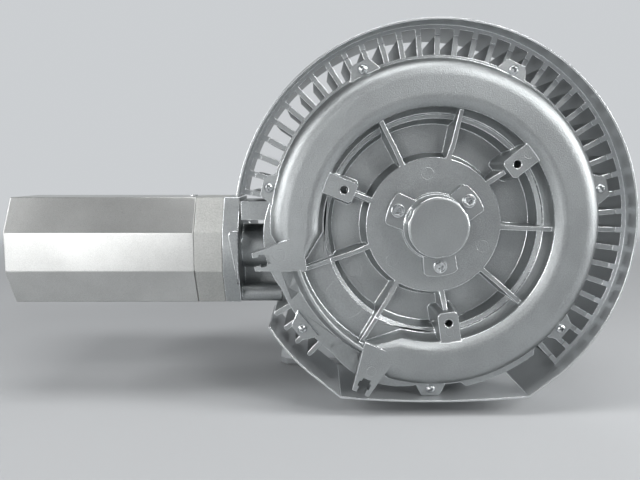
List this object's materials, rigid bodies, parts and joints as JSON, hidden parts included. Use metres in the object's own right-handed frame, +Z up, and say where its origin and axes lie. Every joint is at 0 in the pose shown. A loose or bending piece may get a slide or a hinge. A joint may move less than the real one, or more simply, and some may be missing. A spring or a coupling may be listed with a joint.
{
  "type": "side channel blower",
  "caption": "Side channel blower: finned round housing with a cast ribbed cover, slotted shroud, motor behind, and octagonal silencers at the side.",
  "frame": {"origin": "on the rotor axis, in the plane of the three tapped lug faces of the cover", "axes": "+X to the right as seen from the cover side, away from the silencers; +Y along the rotor axis from the cover to the motor; +Z up, away from the foot"},
  "size_m": [0.6391, 0.409, 0.3956],
  "materials": {
    "cast_aluminium": "sand and die cast, matt silver",
    "cap_aluminium": "smooth die cast",
    "sheet_steel": "silver paint on formed sheet",
    "silencer_aluminium": "extruded, satin silver",
    "steel": "turned and ground",
    "zinc_screw": "zinc plated",
    "lamination": "stacked sheet",
    "copper": "enamelled wire",
    "rubber": "matt",
    "foam": "open cell foam",
    "plastic": "moulded",
    "brass_stud": "turned"
  },
  "bodies": {
    "blower_body": {"impeller_cover": "cast_aluminium", "cover_screws": "zinc_screw", "bearing_cap": "cap_aluminium", "cap_screws": "zinc_screw", "front_bearing": "steel", "front_seal": "rubber", "impeller_housing": "cast_aluminium", "housing_seal": "rubber", "fan_shroud": "sheet_steel", "front_silencer_adapter": "cast_aluminium", "rear_silencer_adapter": "cast_aluminium", "front_silencer_tube": "silencer_aluminium", "rear_silencer_tube": "silencer_aluminium", "front_silencer_liner": "foam", "rear_silencer_liner": "foam", "silencer_flange_bolts": "steel", "silencer_screws": "zinc_screw", "motor_frame": "cast_aluminium", "motor_bolts": "steel", "lifting_eye": "steel", "stator_core": "lamination", "stator_winding": "copper", "rear_shield": "cast_aluminium", "rear_bearing": "steel", "bearing_spring": "steel", "shield_bolts": "steel", "fan_cowl": "sheet_steel", "cowl_screws": "zinc_screw", "terminal_box": "cast_aluminium", "terminal_gasket": "rubber", "terminal_lid": "cast_aluminium", "lid_screws": "zinc_screw", "box_screws": "zinc_screw", "terminal_block": "plastic", "terminal_studs": "brass_stud", "cable_gland": "plastic", "base_foot": "sheet_steel", "foot_bolts": "steel"},
    "rotor": {"shaft": "steel", "impeller": "cast_aluminium", "impeller_key": "steel", "impeller_circlip": "steel", "rotor_core": "lamination", "cooling_fan": "plastic", "fan_circlip": "steel"}
  },
  "joints": [
    {"name": "rotor_spin", "type": "hinge", "parent": "blower_body", "child": "rotor", "pos_m": [0, 0, 0], "axis": [0, 1, 0], "continuous": true}
  ]
}
